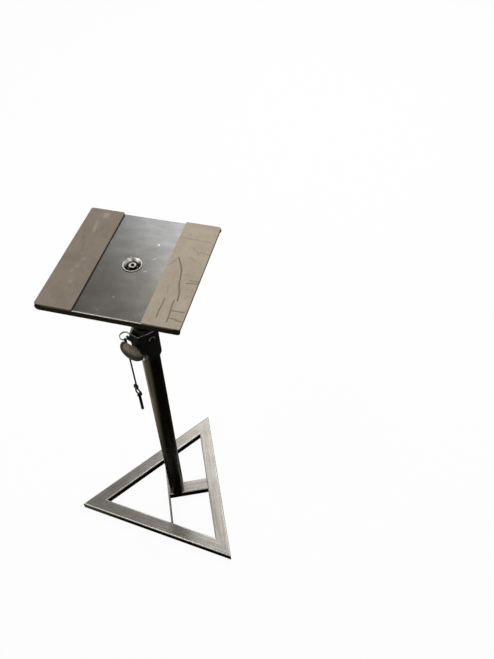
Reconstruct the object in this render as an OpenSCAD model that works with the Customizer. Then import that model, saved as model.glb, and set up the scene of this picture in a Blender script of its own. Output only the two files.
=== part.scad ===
/* [Base] */
// Outer length of each side of the triangular base
base_side = 387; // [340:1:440]
// Width of the base bars and of the spoke
bar_w = 29; // [25:1:34]
// Height of the base bars and of the spoke
bar_h = 22; // [18:1:28]
// Wall of the base tubes
bar_wall = 1.5; // [1:0.1:2.5]
// Outer radius of the corners of the base tubes
bar_round = 2.6; // [2.6:0.1:4]
// From the outer edge of the back bar to the axis of the column
column_back = 104; // [95:1:115]
// From the axis of the column to the crossbar
spoke_reach = 20; // [19:0.5:36]
// Thickness of the crossbar
crossbar_t = 4; // [3:0.5:6]
// Height of the crossbar
crossbar_h = 20; // [12:1:22]
// Radius of the rubber feet
foot_r = 12; // [8:0.5:14]
// Thickness of the rubber feet
foot_t = 3; // [2:0.5:6]
// From each sharp corner of the base to the middle of its foot
foot_inset = 34; // [30:1:40]

/* [Column] */
// Outer radius of the column tube
column_r = 17.5; // [16:0.25:19]
// Wall of the column tube
column_wall = 1.5; // [1.2:0.1:2]
// Length of the column tube
column_len = 615; // [500:5:750]
// Height of the threaded plug in the foot of the column
plug_h = 20; // [14:1:30]
// Radius of the column bolt
column_bolt_r = 5; // [4:0.5:6]
// Length of the column bolt under its head
column_bolt_len = 18; // [14:1:24]

/* [Collar] */
// Turn of the collar on the column, seen from above
collar_turn = 135; // [0:5:355]
// Outer radius of the collar sleeve
collar_r = 22; // [20:0.5:25]
// Length of the collar sleeve
collar_len = 74; // [70:1:90]
// Height of the lip above the bush
collar_lip = 6; // [4:0.5:10]
// From the axis of the column to the end face of the boss
boss_reach = 30; // [29.5:0.25:34]
// Width of the end face of the boss
boss_w = 19; // [18:0.5:24]
// Depth of the boss below the top of the collar
boss_drop = 65; // [62:1:70]
// Height of the slope under the boss
boss_slope = 16; // [10:1:20]
// From the top of the collar to the axis of the clamp screw
clamp_drop = 31; // [29:0.5:34]
// From the top of the collar to the axis of the pinch screw
pinch_drop = 55; // [53:0.5:57]
// From the top of the collar to the axis of the pin hole
pin_drop = 16; // [14:0.5:18]
// Turn of the pin hole from the boss
pin_turn = 70; // [66:1:80]
// Height of the guide bush in the column
bush_h = 40; // [36:1:60]
// Height of the flange on the guide bush
bush_flange = 2; // [1:0.5:3]

/* [Clamp] */
// Radius of the clamp screw
stud_r = 3.95; // [3.5:0.05:4.25]
// Width across the flats of the clamp nut
nut_flats = 13; // [12:0.5:14]
// Thickness of the clamp nut
nut_t = 6.3; // [5:0.1:6.5]
// Radius of the clamp shoe
shoe_r = 6; // [5.5:0.25:6.5]
// Thickness of the clamp shoe
shoe_t = 3.5; // [3:0.25:3.75]
// From the boss to the wing of the knob
knob_off = 8.8; // [8.8:0.1:12]
// Depth of the wing along the screw
knob_depth = 12; // [10:0.5:16]
// Half the length of the wing
knob_half = 24; // [20:0.5:26]
// Half the height of the wing at its middle
knob_rise = 14; // [10:0.5:15]
// Radius of the crown across the face of the wing
knob_crown = 17; // [16:0.5:30]
// Turn of the wing on its screw as photographed
knob_tilt = 20; // [0:5:180]
// Radius of the pinch screw
pinch_r = 3; // [2.5:0.25:3.25]

/* [Mast] */
// Outer radius of the mast tube
mast_r = 14; // [13.5:0.1:14.4]
// Wall of the mast tube
mast_wall = 1.5; // [1.2:0.1:2.5]
// Length of the mast tube
mast_len = 571; // [500:1:620]
// Length of mast that stands out of the collar
mast_out = 138; // [100:1:180]
// Distance from one pin hole to the next
hole_pitch = 40; // [20:5:60]
// Height of the glide ring at the foot of the mast
glide_h = 12; // [8:1:20]

/* [Platform] */
// Side of the square platform
plate_side = 229; // [200:1:260]
// Thickness of the platform sheet
plate_t = 2; // [1.5:0.1:3]
// Depth of the edges that are bent down
edge_drop = 10; // [8:0.5:16]
// Turn of the platform on the column, seen from above
plate_turn = 66.3; // [0:0.1:180]
// Radius of the dish in the platform
dish_r = 15.5; // [14:0.25:18]
// Radius of the dish floor
dish_floor_r = 10; // [9.5:0.25:12]
// Depth of the dish
dish_depth = 7.5; // [7:0.25:9]
// Radius of the flange under the platform
socket_r = 38; // [30:1:50]
// Width of each foam pad
pad_w = 60; // [50:0.5:75]
// Thickness of the foam pads
pad_t = 3; // [2:0.5:6]

/* [Locking pin] */
// Radius of the locking pin
pin_r = 2.9; // [2.5:0.05:3.2]
// Length of the locking pin below its eye
pin_len = 46; // [44:1:60]
// Radius of the split ring at the middle of its wire
ring_r = 8.9; // [8:0.1:9]
// Diameter of the lanyard cord
cord_d = 3.2; // [2.4:0.1:3.2]

/* [Hidden] */

$fn = 64;
over = 1;                 // how far a cutter runs past the face that it opens
run_gap = 0.05;           // radial clearance of a shaft that turns or slides in its hole
free_gap = 0.3;           // clearance between pieces that move past each other
chamfer = 1.5;            // bevel at the foot of the collar and at the tip of the pin

steel_black = [0.09, 0.09, 0.10];
plastic_black = [0.13, 0.13, 0.14];
zinc = [0.72, 0.73, 0.74];
rubber_black = [0.05, 0.05, 0.05];
foam_grey = [0.52, 0.49, 0.44];
nylon_grey = [0.35, 0.35, 0.36];
brass = [0.75, 0.6, 0.3];

// Heights, from the floor up
bar_top = foot_t + bar_h;
column_top = bar_top + column_len;
collar_top = column_top + bush_flange + collar_lip;
collar_low = collar_top - collar_len;
boss_low = collar_top - boss_drop;
clamp_z = collar_top - clamp_drop;
pinch_z = collar_top - pinch_drop;
pin_z = collar_top - pin_drop;
mast_top = collar_top + mast_out;
mast_low = mast_top - mast_len;
dish_floor = mast_top + plate_t;
plate_top = dish_floor + dish_depth;
plate_low = plate_top - plate_t;

column_bore = column_r - column_wall;
mast_bore = mast_r - mast_wall;
pin_hole_r = pin_r + free_gap;

// The base triangle
centre_y = base_side / (2 * sqrt(3)) - column_back;
corner_r = base_side / sqrt(3);
mitre = bar_w * sqrt(3);
inner_apex_y = centre_y + corner_r - 2 * bar_w;

// A rectangle with rounded corners, from the origin
module rounded(w, h, r) {
    translate([r, 0])
    square([w - 2 * r, h]);
    translate([0, r])
    square([w, h - 2 * r]);
    for (x = [r, w - r], y = [r, h - r])
        translate([x, y])
        circle(r = r);
}

// The section of the base tubes: width across, height up
module tube_section() {
    difference() {
        rounded(bar_w, bar_h, bar_round);
        translate([bar_wall, bar_wall])
        rounded(bar_w - 2 * bar_wall, bar_h - 2 * bar_wall, bar_round - bar_wall);
    }
}

// One base tube, lying on the outer edge of the side that faces -Y, with its ends mitred
module base_bar(turn) {
    color(steel_black)
    translate([0, centre_y, foot_t])
    rotate([0, 0, turn])
    translate([0, -base_side / (2 * sqrt(3)), 0])
    intersection() {
        translate([-base_side / 2, 0, 0])
        rotate([90, 0, 90])
        linear_extrude(base_side)
        tube_section();
        translate([0, 0, -over])
        linear_extrude(bar_h + 2 * over)
        polygon([[-base_side / 2, 0], [base_side / 2, 0],
            [base_side / 2 - mitre, bar_w], [mitre - base_side / 2, bar_w]]);
    }
}

module base_bar_back() {
    base_bar(0);
}

module base_bar_right() {
    base_bar(120);
}

module base_bar_left() {
    base_bar(240);
}

// The tube that carries the column, open at both ends until it is welded in
spoke_from = bar_w - column_back;
spoke_len = spoke_reach - spoke_from;
bolt_head_r = column_bolt_r * 1.85;
bolt_head_h = column_bolt_r * 1.3;
bolt_access_r = bolt_head_r + 2;
module base_spoke() {
    color(steel_black)
    difference() {
        translate([-bar_w / 2, spoke_from + spoke_len, foot_t])
        rotate([90, 0, 0])
        linear_extrude(spoke_len)
        tube_section();
        translate([0, 0, foot_t - over])
        cylinder(r = bolt_access_r, h = bar_wall + 2 * over);
        translate([0, 0, bar_top - bar_wall - over])
        cylinder(r = column_bolt_r + free_gap, h = bar_wall + 2 * over);
    }
}

// The flat strip on edge that ties the spoke to the two slanted bars
module base_crossbar() {
    near = (inner_apex_y - spoke_reach) / sqrt(3);
    far = (inner_apex_y - spoke_reach - crossbar_t) / sqrt(3);
    color(steel_black)
    translate([0, 0, bar_top - crossbar_h])
    linear_extrude(crossbar_h)
    polygon([[-near, spoke_reach], [near, spoke_reach],
        [far, spoke_reach + crossbar_t], [-far, spoke_reach + crossbar_t]]);
}

module rubber_foot(turn) {
    color(rubber_black)
    translate([0, centre_y, 0])
    rotate([0, 0, turn])
    translate([0, corner_r - foot_inset, 0])
    cylinder(r = foot_r, h = foot_t);
}

module foot_apex() {
    rubber_foot(0);
}

module foot_back_left() {
    rubber_foot(120);
}

module foot_back_right() {
    rubber_foot(240);
}

// Everything on the collar is drawn with the boss along X and turned with the collar
module on_collar() {
    rotate([0, 0, collar_turn])
    children();
}

// A cylinder along the reach of the boss, at a height
module along_reach(from, to, r, z, side = 0, sides = $fn) {
    translate([from, side, z])
    rotate([0, 90, 0])
    cylinder(r = r, h = to - from, $fn = sides);
}

// A cylinder across the boss, at a reach and a height
module across_boss(from, to, r, reach, z, sides = $fn) {
    translate([reach, from, z])
    rotate([-90, 0, 0])
    cylinder(r = r, h = to - from, $fn = sides);
}

// The hole for the locking pin, right through the column
module pin_bore() {
    rotate([0, 0, pin_turn])
    along_reach(-2 * collar_r, 2 * collar_r, pin_hole_r, pin_z);
}

// The hole for the clamp shoe, from the bore of the column out to a reach
module shoe_bore(to) {
    along_reach(mast_r / 2, to, shoe_r + free_gap, clamp_z);
}

module column_tube() {
    color(steel_black)
    difference() {
        translate([0, 0, bar_top])
        cylinder(r = column_r, h = column_len);
        translate([0, 0, bar_top - over])
        cylinder(r = column_bore, h = column_len + 2 * over);
        on_collar() {
            pin_bore();
            shoe_bore(column_r + over);
        }
    }
}

module column_plug() {
    color(zinc)
    translate([0, 0, bar_top])
    difference() {
        cylinder(r = column_bore, h = plug_h);
        translate([0, 0, -over])
        cylinder(r = column_bolt_r, h = plug_h + 2 * over);
    }
}

// The bolt comes from below through the spoke and into the plug
washer_t = 2;
module column_bolt() {
    seat = bar_top - bar_wall - washer_t;
    color(zinc) {
        translate([0, 0, seat])
        cylinder(r = column_bolt_r, h = column_bolt_len);
        translate([0, 0, seat - bolt_head_h])
        cylinder(r = bolt_head_r, h = bolt_head_h, $fn = 6);
    }
}

module column_washer() {
    color(zinc)
    translate([0, 0, bar_top - bar_wall - washer_t])
    difference() {
        cylinder(r = bolt_head_r + 1, h = washer_t);
        translate([0, 0, -over])
        cylinder(r = column_bolt_r + free_gap, h = washer_t + 2 * over);
    }
}

// Outline of the collar with its boss: the sleeve, and flanks that leave it nearly along a
// tangent. They dip into the sleeve a little and so meet it at a clean edge.
flank_dip = 0.1;
flank_foot = collar_r - flank_dip;
corner_reach = norm([boss_reach, boss_w / 2]);
corner_turn = atan2(boss_w / 2, boss_reach) + acos(flank_foot / corner_reach);
module boss_outline() {
    touch = [flank_foot * cos(corner_turn), flank_foot * sin(corner_turn)];
    polygon([[0, 0], [touch[0], -touch[1]], [boss_reach, -boss_w / 2],
        [boss_reach, boss_w / 2], touch]);
}

// How far the flank of the boss stands from its middle, at a reach
function flank(reach) = boss_w / 2 + (boss_reach - reach) / tan(corner_turn);

// Inside the boss: a pocket for the clamp nut, open at the top, behind the end wall
end_wall = 2.5;
nut_r = nut_flats / sqrt(3);
nut_from = boss_reach - end_wall - nut_t;
nut_gap = 0.1;
// The top of the boss is sunk inside a rim
rim_wall = 2;
rim_drop = 2;
rim_from = mast_r + 6;

// The split ring lies flat in a lug on the left flank, on the lug's shelf
wire_w = 1.4;
wire_h = 2.6;
ring_drop = 18;
ring_z = collar_top - ring_drop;
lug_t = 3;
lug_h = 9;
lug_wall = 1.4;
lug_from = boss_reach - lug_t;
lug_hole_r = norm([wire_w, wire_h]) / 2 + 0.5;
eye_off = 5.2;
eye_side = -(flank(lug_from) + eye_off);
ring_reach = lug_from + lug_t / 2;
ring_side = eye_side - ring_r;

// The pinch screw closes the slit in the lower half of the boss
slit_w = 2;
slit_top = clamp_z - nut_flats / 2 - 4;
pinch_reach = boss_reach - pinch_r - 1;
pinch_head_r = 6;
pinch_head_h = 7.5;
pinch_nut_t = 5;
pinch_sink = 1;
pinch_seat = flank(pinch_reach) - pinch_sink;

// A raised eye round the pin hole, on a short rib
pin_eye_r = pin_hole_r + 3.1;
pin_eye_rise = 1.5;
pin_rib_w = 2.4;
pin_rib_len = 13;
pin_rib_rise = 1;
module collar_housing() {
    color(plastic_black)
    on_collar()
    difference() {
        union() {
            translate([0, 0, collar_low + chamfer])
            cylinder(r = collar_r, h = collar_len - chamfer);
            translate([0, 0, collar_low])
            cylinder(r1 = collar_r - chamfer, r2 = collar_r, h = chamfer);
            translate([0, 0, boss_low])
            linear_extrude(collar_top - boss_low)
            boss_outline();
            rotate([0, 0, pin_turn])
            along_reach(column_r + over, collar_r + pin_eye_rise, pin_eye_r, pin_z);
            rotate([0, 0, pin_turn])
            translate([column_r + over, -pin_rib_w / 2, pin_z - pin_rib_len])
            cube([collar_r + pin_rib_rise - column_r - over, pin_rib_w, pin_rib_len - pin_hole_r - 1]);
            lug();
        }
        // bore for the column, and a closer one for the mast above it
        translate([0, 0, collar_low - over])
        cylinder(r = column_r, h = collar_len - collar_lip + over);
        translate([0, 0, collar_top - collar_lip - over])
        cylinder(r = mast_r + 2 * free_gap, h = collar_lip + 2 * over);
        // slope under the boss
        translate([collar_r, -2 * boss_w, boss_low])
        rotate([0, 90 - atan2(boss_slope, boss_reach - collar_r), 0])
        translate([0, 0, -4 * boss_slope])
        cube([4 * boss_slope, 4 * boss_w, 8 * boss_slope]);
        // pocket for the clamp nut and the sunk top of the rim
        translate([nut_from - nut_gap, -nut_flats / 2 - nut_gap, clamp_z - nut_r - nut_gap])
        cube([nut_t + 2 * nut_gap, nut_flats + 2 * nut_gap, boss_drop]);
        rim_cut();
        // holes for the clamp screw, the shoe and the pin
        along_reach(nut_from, boss_reach + over, stud_r + free_gap, clamp_z);
        shoe_bore(nut_from + over / 2);
        pin_bore();
        // slit, pinch screw hole and its two seats
        translate([column_r - over, -slit_w / 2, collar_low - over])
        cube([boss_reach, slit_w, slit_top - collar_low + over]);
        across_boss(-boss_w, boss_w, pinch_r + free_gap, pinch_reach, pinch_z);
        across_boss(pinch_seat, 2 * boss_w, pinch_head_r + free_gap, pinch_reach, pinch_z);
        across_boss(-2 * boss_w, -pinch_seat, pinch_head_r + 2 * free_gap, pinch_reach, pinch_z);
    }
}

// The lug stands on the flank, with a shelf that keeps the ring flat
module lug() {
    shelf_from = lug_from - 3;
    side_end = eye_side - lug_hole_r - lug_wall;
    width = -side_end - boss_w / 4;
    translate([lug_from, side_end, ring_z - lug_h / 2])
    cube([lug_t, width, lug_h]);
    translate([shelf_from, side_end, ring_z - lug_h / 2])
    cube([ring_reach - shelf_from, width, lug_h / 2 - wire_h / 2 - free_gap]);
}

// The sunk top inside the rim, and the eye of the lug
module rim_cut() {
    inner = boss_reach - rim_wall;
    translate([0, 0, collar_top - rim_drop])
    linear_extrude(rim_drop + over)
    polygon([[rim_from, -boss_w / 2], [inner, -boss_w / 2 + rim_wall],
        [inner, boss_w / 2 - rim_wall], [rim_from, boss_w / 2]]);
    along_reach(lug_from - over, boss_reach + over, lug_hole_r, ring_z, eye_side);
}

module guide_bush() {
    color(nylon_grey)
    difference() {
        union() {
            translate([0, 0, column_top - bush_h])
            cylinder(r = column_bore, h = bush_h);
            translate([0, 0, column_top])
            cylinder(r = column_r, h = bush_flange);
        }
        translate([0, 0, column_top - bush_h - over])
        cylinder(r = mast_r + run_gap, h = bush_h + bush_flange + 2 * over);
        on_collar() {
            pin_bore();
            shoe_bore(column_r + over);
        }
    }
}

module clamp_nut() {
    color(zinc)
    on_collar()
    difference() {
        along_reach(nut_from, nut_from + nut_t, nut_r, clamp_z, 0, 6);
        along_reach(nut_from - over, nut_from + nut_t + over, stud_r + run_gap, clamp_z);
    }
}

pinch_tail = 1;
module pinch_screw() {
    socket = 3.2;
    socket_wall = 2.1;
    color(zinc)
    on_collar()
    difference() {
        union() {
            across_boss(-pinch_seat - pinch_nut_t - pinch_tail, pinch_seat, pinch_r,
                pinch_reach, pinch_z);
            across_boss(pinch_seat, pinch_seat + pinch_head_h, pinch_head_r, pinch_reach, pinch_z);
        }
        across_boss(pinch_seat + pinch_head_h - socket, pinch_seat + pinch_head_h + over,
            pinch_head_r - socket_wall, pinch_reach, pinch_z, 6);
    }
}

module pinch_nut() {
    color(zinc)
    on_collar()
    difference() {
        across_boss(-pinch_seat - pinch_nut_t, -pinch_seat, pinch_head_r, pinch_reach, pinch_z, 6);
        across_boss(-pinch_seat - pinch_nut_t - over, -pinch_seat + over, pinch_r,
            pinch_reach, pinch_z);
    }
}

// The shoe presses on the mast; the tip of the screw turns in its back
shoe_from = mast_r + free_gap;
tip_depth = 2;
tip_gap = 0.1;
module clamp_shoe() {
    color(brass)
    on_collar()
    difference() {
        along_reach(shoe_from, shoe_from + shoe_t, shoe_r, clamp_z);
        along_reach(shoe_from + shoe_t - tip_depth, shoe_from + shoe_t + over, stud_r + run_gap, clamp_z);
    }
}

knob_from = boss_reach + knob_off;
hub_h = 2.3;
hub_r = 9;
stud_nut_t = 3.5;
stud_into_knob = 8;
module clamp_stud() {
    color(zinc)
    on_collar()
    along_reach(shoe_from + shoe_t - tip_depth + tip_gap, knob_from + stud_into_knob, stud_r, clamp_z);
}

module stud_nut() {
    color(zinc)
    on_collar()
    difference() {
        along_reach(knob_from - hub_h - stud_nut_t, knob_from - hub_h, nut_r, clamp_z, 0, 6);
        along_reach(knob_from - hub_h - stud_nut_t - over, knob_from, stud_r, clamp_z);
    }
}

// A leaf-shaped wing: two wide arcs that would cross a little beyond its round ends.
// Its face is crowned from top to bottom.
wing_point = 1.35;
module wing_outline() {
    tip = knob_half * wing_point;
    arc_r = (tip * tip + knob_rise * knob_rise) / (2 * knob_rise);
    intersection() {
        translate([arc_r - knob_rise, 0])
        circle(r = arc_r, $fn = 96);
        translate([knob_rise - arc_r, 0])
        circle(r = arc_r, $fn = 96);
        circle(r = knob_half);
    }
}

module wing_knob() {
    color(plastic_black)
    on_collar()
    difference() {
        union() {
            translate([knob_from, 0, clamp_z])
            rotate([-knob_tilt, 0, 0])
            intersection() {
                rotate([0, 90, 0])
                linear_extrude(knob_depth)
                wing_outline();
                translate([knob_depth - knob_crown, 0, 0])
                rotate([90, 0, 0])
                cylinder(r = knob_crown, h = 2 * knob_half + over, center = true);
            }
            along_reach(knob_from - hub_h, knob_from + over, hub_r, clamp_z);
        }
        along_reach(knob_from - hub_h - over, knob_from + stud_into_knob, stud_r, clamp_z);
    }
}

// The glide ring runs in the column on the neck of the mast's end cap
neck_r = mast_bore - 0.5;
cap_flange_t = 3;
cap_plug_h = 15;
neck_h = glide_h + 2 * free_gap;
module glide_ring() {
    color(nylon_grey)
    translate([0, 0, mast_low - neck_h + free_gap])
    difference() {
        cylinder(r = column_bore - run_gap, h = glide_h);
        translate([0, 0, -over])
        cylinder(r = neck_r + run_gap, h = glide_h + 2 * over);
    }
}

module mast_end_cap() {
    color(plastic_black) {
        translate([0, 0, mast_low])
        cylinder(r = mast_bore, h = cap_plug_h);
        translate([0, 0, mast_low - neck_h])
        cylinder(r = neck_r, h = neck_h);
        translate([0, 0, mast_low - neck_h - cap_flange_t])
        cylinder(r = column_bore - 2 * free_gap, h = cap_flange_t);
    }
}

// The pin holes run from above the end cap to just below the head socket
stem_h = 24;
stem_low = mast_top - stem_h;
module mast_tube() {
    holes_up = floor((stem_low - 2 * pin_hole_r - pin_z) / hole_pitch);
    holes_down = floor((pin_z - mast_low - 2 * cap_plug_h) / hole_pitch);
    color(steel_black)
    difference() {
        translate([0, 0, mast_low])
        cylinder(r = mast_r, h = mast_len);
        translate([0, 0, mast_low - over])
        cylinder(r = mast_bore, h = mast_len + 2 * over);
        rotate([0, 0, collar_turn + pin_turn])
        for (step = [-holes_down : holes_up])
            along_reach(-2 * mast_r, 2 * mast_r, pin_hole_r, pin_z + step * hole_pitch);
    }
}

bolt_r = 3.95;
top_plug_h = 22;
module mast_top_plug() {
    color(zinc)
    translate([0, 0, mast_top - top_plug_h])
    difference() {
        cylinder(r = mast_bore, h = top_plug_h);
        translate([0, 0, -over])
        cylinder(r = bolt_r, h = top_plug_h + 2 * over);
    }
}

// Under the platform: a socket on the mast that flares to a flange and clears the dish
dish_slope = (dish_r - dish_floor_r) / dish_depth;
dish_skin = plate_t * norm([1, dish_slope]);
dish_foot_r = dish_floor_r + dish_skin - dish_slope * plate_t;
dish_neck_r = dish_r + dish_skin - dish_slope * plate_t;
module head_socket() {
    stem_r = mast_r + 4;
    flare_h = 16;
    flange_t = 3;
    flange_w = 6;
    color(steel_black)
    rotate_extrude()
    polygon([[mast_r, stem_low], [stem_r, stem_low], [stem_r, plate_low - flare_h],
        [socket_r - flange_w, plate_low - flange_t - 1], [socket_r, plate_low - flange_t],
        [socket_r, plate_low], [dish_neck_r + free_gap, plate_low], [mast_r, mast_top - 1]]);
}

// The platform sheet: flat at its two sides, bent down at its front and back
module top_plate() {
    corner = 6;
    bend = 3;
    half = plate_side / 2;
    drop_corner = edge_drop - bend - 1;
    color(steel_black)
    rotate([0, 0, plate_turn])
    difference() {
        union() {
            translate([-half, bend - half, plate_low])
            cube([plate_side, plate_side - 2 * bend, plate_t]);
            for (flip = [0, 1])
                mirror([0, flip, 0]) {
                    intersection() {
                        translate([-half, bend - half, plate_top - bend])
                        rotate([0, 90, 0])
                        cylinder(r = bend, h = plate_side);
                        translate([-half, -half, plate_top - bend])
                        cube([plate_side, bend, bend]);
                    }
                    edge_flange(half, bend, drop_corner);
                }
            rotate_extrude()
            polygon([[0, mast_top], [dish_foot_r, mast_top], [dish_neck_r, plate_low],
                [dish_neck_r, plate_top], [0, plate_top]]);
        }
        // the inside of the bend
        for (flip = [0, 1])
            mirror([0, flip, 0])
            translate([-half - over, bend - half, plate_top - bend])
            rotate([0, 90, 0])
            cylinder(r = bend - plate_t, h = plate_side + 2 * over);
        // the inside of the dish and the bolt hole
        rotate_extrude()
        polygon([[0, dish_floor], [dish_floor_r, dish_floor],
            [dish_r + dish_slope * over, plate_top + over], [0, plate_top + over]]);
        translate([0, 0, mast_top - over])
        cylinder(r = bolt_r + free_gap, h = plate_t + 2 * over);
    }
}

// One bent edge below the bend, with its two lower corners rounded
module edge_flange(half, bend, drop_corner) {
    low = plate_top - edge_drop;
    translate([0, plate_t - half, 0])
    rotate([90, 0, 0])
    linear_extrude(plate_t)
    union() {
        translate([-half, low + drop_corner])
        square([plate_side, edge_drop - bend - drop_corner]);
        translate([drop_corner - half, low])
        square([plate_side - 2 * drop_corner, drop_corner]);
        for (side = [-1, 1])
            translate([side * (half - drop_corner), low + drop_corner])
            circle(r = drop_corner);
    }
}

// A thin conical washer lines the dish and turns over its lip
cup_t = 0.9;
cup_lip = 1.2;
cup_skin = 0.6;
module cup_washer() {
    foot_in = dish_floor_r - 2 * cup_skin;
    color(zinc)
    rotate_extrude()
    polygon([[foot_in, dish_floor], [dish_floor_r - run_gap, dish_floor],
        [dish_r - run_gap, plate_top], [dish_r + cup_lip, plate_top],
        [dish_r + cup_lip, plate_top + cup_t], [dish_r - cup_skin, plate_top + cup_t],
        [foot_in, dish_floor + cup_skin]]);
}

flat_t = 1.2;
spring_t = 1.2;
head_r = 6.5;
module flat_washer() {
    color(zinc)
    translate([0, 0, dish_floor])
    difference() {
        cylinder(r = dish_floor_r - 1.5, h = flat_t);
        translate([0, 0, -over])
        cylinder(r = bolt_r + free_gap, h = flat_t + 2 * over);
    }
}

module spring_washer() {
    split = 1;
    color(zinc)
    translate([0, 0, dish_floor + flat_t])
    difference() {
        cylinder(r = head_r, h = spring_t);
        translate([0, 0, -over])
        cylinder(r = bolt_r + free_gap, h = spring_t + 2 * over);
        translate([0, -split / 2, -over])
        cube([head_r + over, split, spring_t + 2 * over]);
    }
}

module centre_bolt() {
    seat = dish_floor + flat_t + spring_t;
    head_sink = 0.6;
    head_h = plate_top - seat - head_sink;
    hex_r = 3.4;
    hex_depth = 3;
    tip = mast_top - top_plug_h + 2;
    color(zinc)
    difference() {
        union() {
            translate([0, 0, seat])
            cylinder(r = head_r, h = head_h);
            translate([0, 0, tip])
            cylinder(r = bolt_r, h = seat - tip + over);
        }
        translate([0, 0, seat + head_h - hex_depth])
        cylinder(r = hex_r, h = hex_depth + over, $fn = 6);
    }
}

// The pads stop where the sheet starts to bend
module foam_pad(side) {
    margin = 2;
    color(foam_grey)
    rotate([0, 0, plate_turn])
    translate([side * (plate_side - pad_w) / 2 - pad_w / 2, margin - plate_side / 2, plate_top])
    cube([pad_w, plate_side - 2 * margin, pad_t]);
}

module foam_pad_left() {
    foam_pad(1);
}

module foam_pad_right() {
    foam_pad(-1);
}

module split_ring() {
    color(zinc)
    on_collar()
    translate([ring_reach, ring_side, ring_z - wire_h / 2])
    difference() {
        cylinder(r = ring_r + wire_w / 2, h = wire_h);
        translate([0, 0, -over])
        cylinder(r = ring_r - wire_w / 2, h = wire_h + 2 * over);
    }
}

// The lanyard hangs from this point of the ring
hang_turn = 51;
hang = [ring_reach + ring_r * cos(hang_turn), ring_side + ring_r * sin(hang_turn), ring_z];
cap_eye_r = lug_hole_r + 1.8;
cap_eye_t = 3;
cap_wall = 0.8;
cap_low = 12;
cap_stem_top = 2.4;
module lanyard_cap() {
    color(plastic_black)
    on_collar()
    translate(hang)
    rotate([0, 0, hang_turn])
    difference() {
        union() {
            translate([0, cap_eye_t / 2, -free_gap])
            rotate([90, 0, 0])
            cylinder(r = cap_eye_r, h = cap_eye_t);
            translate([0, 0, -cap_low])
            cylinder(r = cord_d / 2 + cap_wall, h = cap_low - cap_stem_top);
        }
        translate([0, cap_eye_t / 2 + over, -free_gap])
        rotate([90, 0, 0])
        cylinder(r = lug_hole_r, h = cap_eye_t + 2 * over);
    }
}

// The route of the lanyard, from the cap down and round its lower loop.
// Each point is [reach, side, height] in mm from the hanging point.
route = [[0, 0, -12], [0, 0, -20], [0, 0, -40], [0, 0, -60], [0, 0, -80], [0, 0, -100],
    [0, 0, -120], [0, 0, -136], [0, 0, -145], [0, 0.5, -147.9], [0, 2, -150.4],
    [0, 4.6, -152.5], [0, 7.2, -154.6], [0, 8.7, -157.1], [0, 9.2, -160], [0, 8.5, -163],
    [0, 6.7, -165.4], [0, 4, -166.8], [0, 1, -166.9], [0, -1.8, -165.7], [0, -3.9, -163.5],
    [0, -4.8, -160.6], [0, -4.6, -157], [0, -4.1, -152.5], [0, -3.7, -148],
    [0, -3.5, -144], [0, -3.5, -140]];

// Directions along the route, and a ring of points around each of its points
function along(i) = let (a = route[max(i - 1, 0)], b = route[min(i + 1, len(route) - 1)])
    (b - a) / norm(b - a);
cord_sides = 8;
function cord_ring(i) = let (t = along(i), u = [1, 0, 0], v = cross(t, u))
    [for (k = [0 : cord_sides - 1])
        route[i] + cord_d / 2 * (cos(360 * k / cord_sides) * u + sin(360 * k / cord_sides) * v)];
module lanyard_cord() {
    last = len(route) - 1;
    points = [for (i = [0 : last]) each cord_ring(i)];
    walls = [for (i = [0 : last - 1], k = [0 : cord_sides - 1])
        let (n = (k + 1) % cord_sides, a = i * cord_sides, b = a + cord_sides)
        [a + k, b + k, b + n, a + n]];
    ends = [[for (k = [0 : cord_sides - 1]) k],
        [for (k = [cord_sides - 1 : -1 : 0]) last * cord_sides + k]];
    color(rubber_black)
    on_collar()
    translate(hang)
    polyhedron(points = points, faces = concat(walls, ends));
}

// The crimp holds the standing part and the returning end of the cord side by side
crimp_h = 8.5;
crimp_wall = 0.8;
module lanyard_crimp() {
    end = route[len(route) - 1];
    half = cord_d / 2 + crimp_wall;
    color(plastic_black)
    on_collar()
    translate(hang + [-half, end[1] - half, end[2] + 0.5 - crimp_h])
    cube([2 * half, 2 * half - end[1], crimp_h]);
}

// The pin hangs by its eye in the bottom of the lanyard's loop
loop_low = [0, 2.4, -167];
eye_t = 3;
eye_hole_r = cord_d / 2 + 1.2;
eye_r = eye_hole_r + 1.9;
eye_cut = 10;
module locking_pin() {
    color(steel_black)
    on_collar()
    translate(hang + loop_low + [0, 0, -free_gap])
    difference() {
        union() {
            translate([0, -eye_t / 2, 0])
            rotate([-90, 0, 0])
            cylinder(r = eye_r, h = eye_t);
            translate([0, 0, -eye_r - pin_len + chamfer])
            cylinder(r = pin_r, h = pin_len);
            translate([0, 0, -eye_r - pin_len])
            cylinder(r1 = pin_r - chamfer, r2 = pin_r, h = chamfer);
        }
        translate([0, -eye_t / 2 - over, 0])
        rotate([-90, 0, 0])
        cylinder(r = eye_hole_r, h = eye_t + 2 * over);
        for (side = [-1, 1])
            translate([0, side * (eye_t + eye_cut) / 2, 0])
            rotate([-90, 0, 0])
            cylinder(r = eye_r + 1, h = eye_cut, center = true);
    }
}

base_bar_back();
base_bar_right();
base_bar_left();
base_spoke();
base_crossbar();
foot_back_right();
foot_back_left();
foot_apex();
column_tube();
column_plug();
column_bolt();
column_washer();
collar_housing();
guide_bush();
clamp_nut();
pinch_screw();
pinch_nut();
clamp_shoe();
clamp_stud();
stud_nut();
wing_knob();
glide_ring();
mast_tube();
mast_end_cap();
mast_top_plug();
head_socket();
top_plate();
cup_washer();
flat_washer();
spring_washer();
centre_bolt();
foam_pad_left();
foam_pad_right();
split_ring();
lanyard_cap();
lanyard_cord();
lanyard_crimp();
locking_pin();
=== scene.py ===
import bpy
import bmesh
import numpy as np
from math import cos, pi, radians, sin
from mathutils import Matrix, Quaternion, Vector


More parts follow.
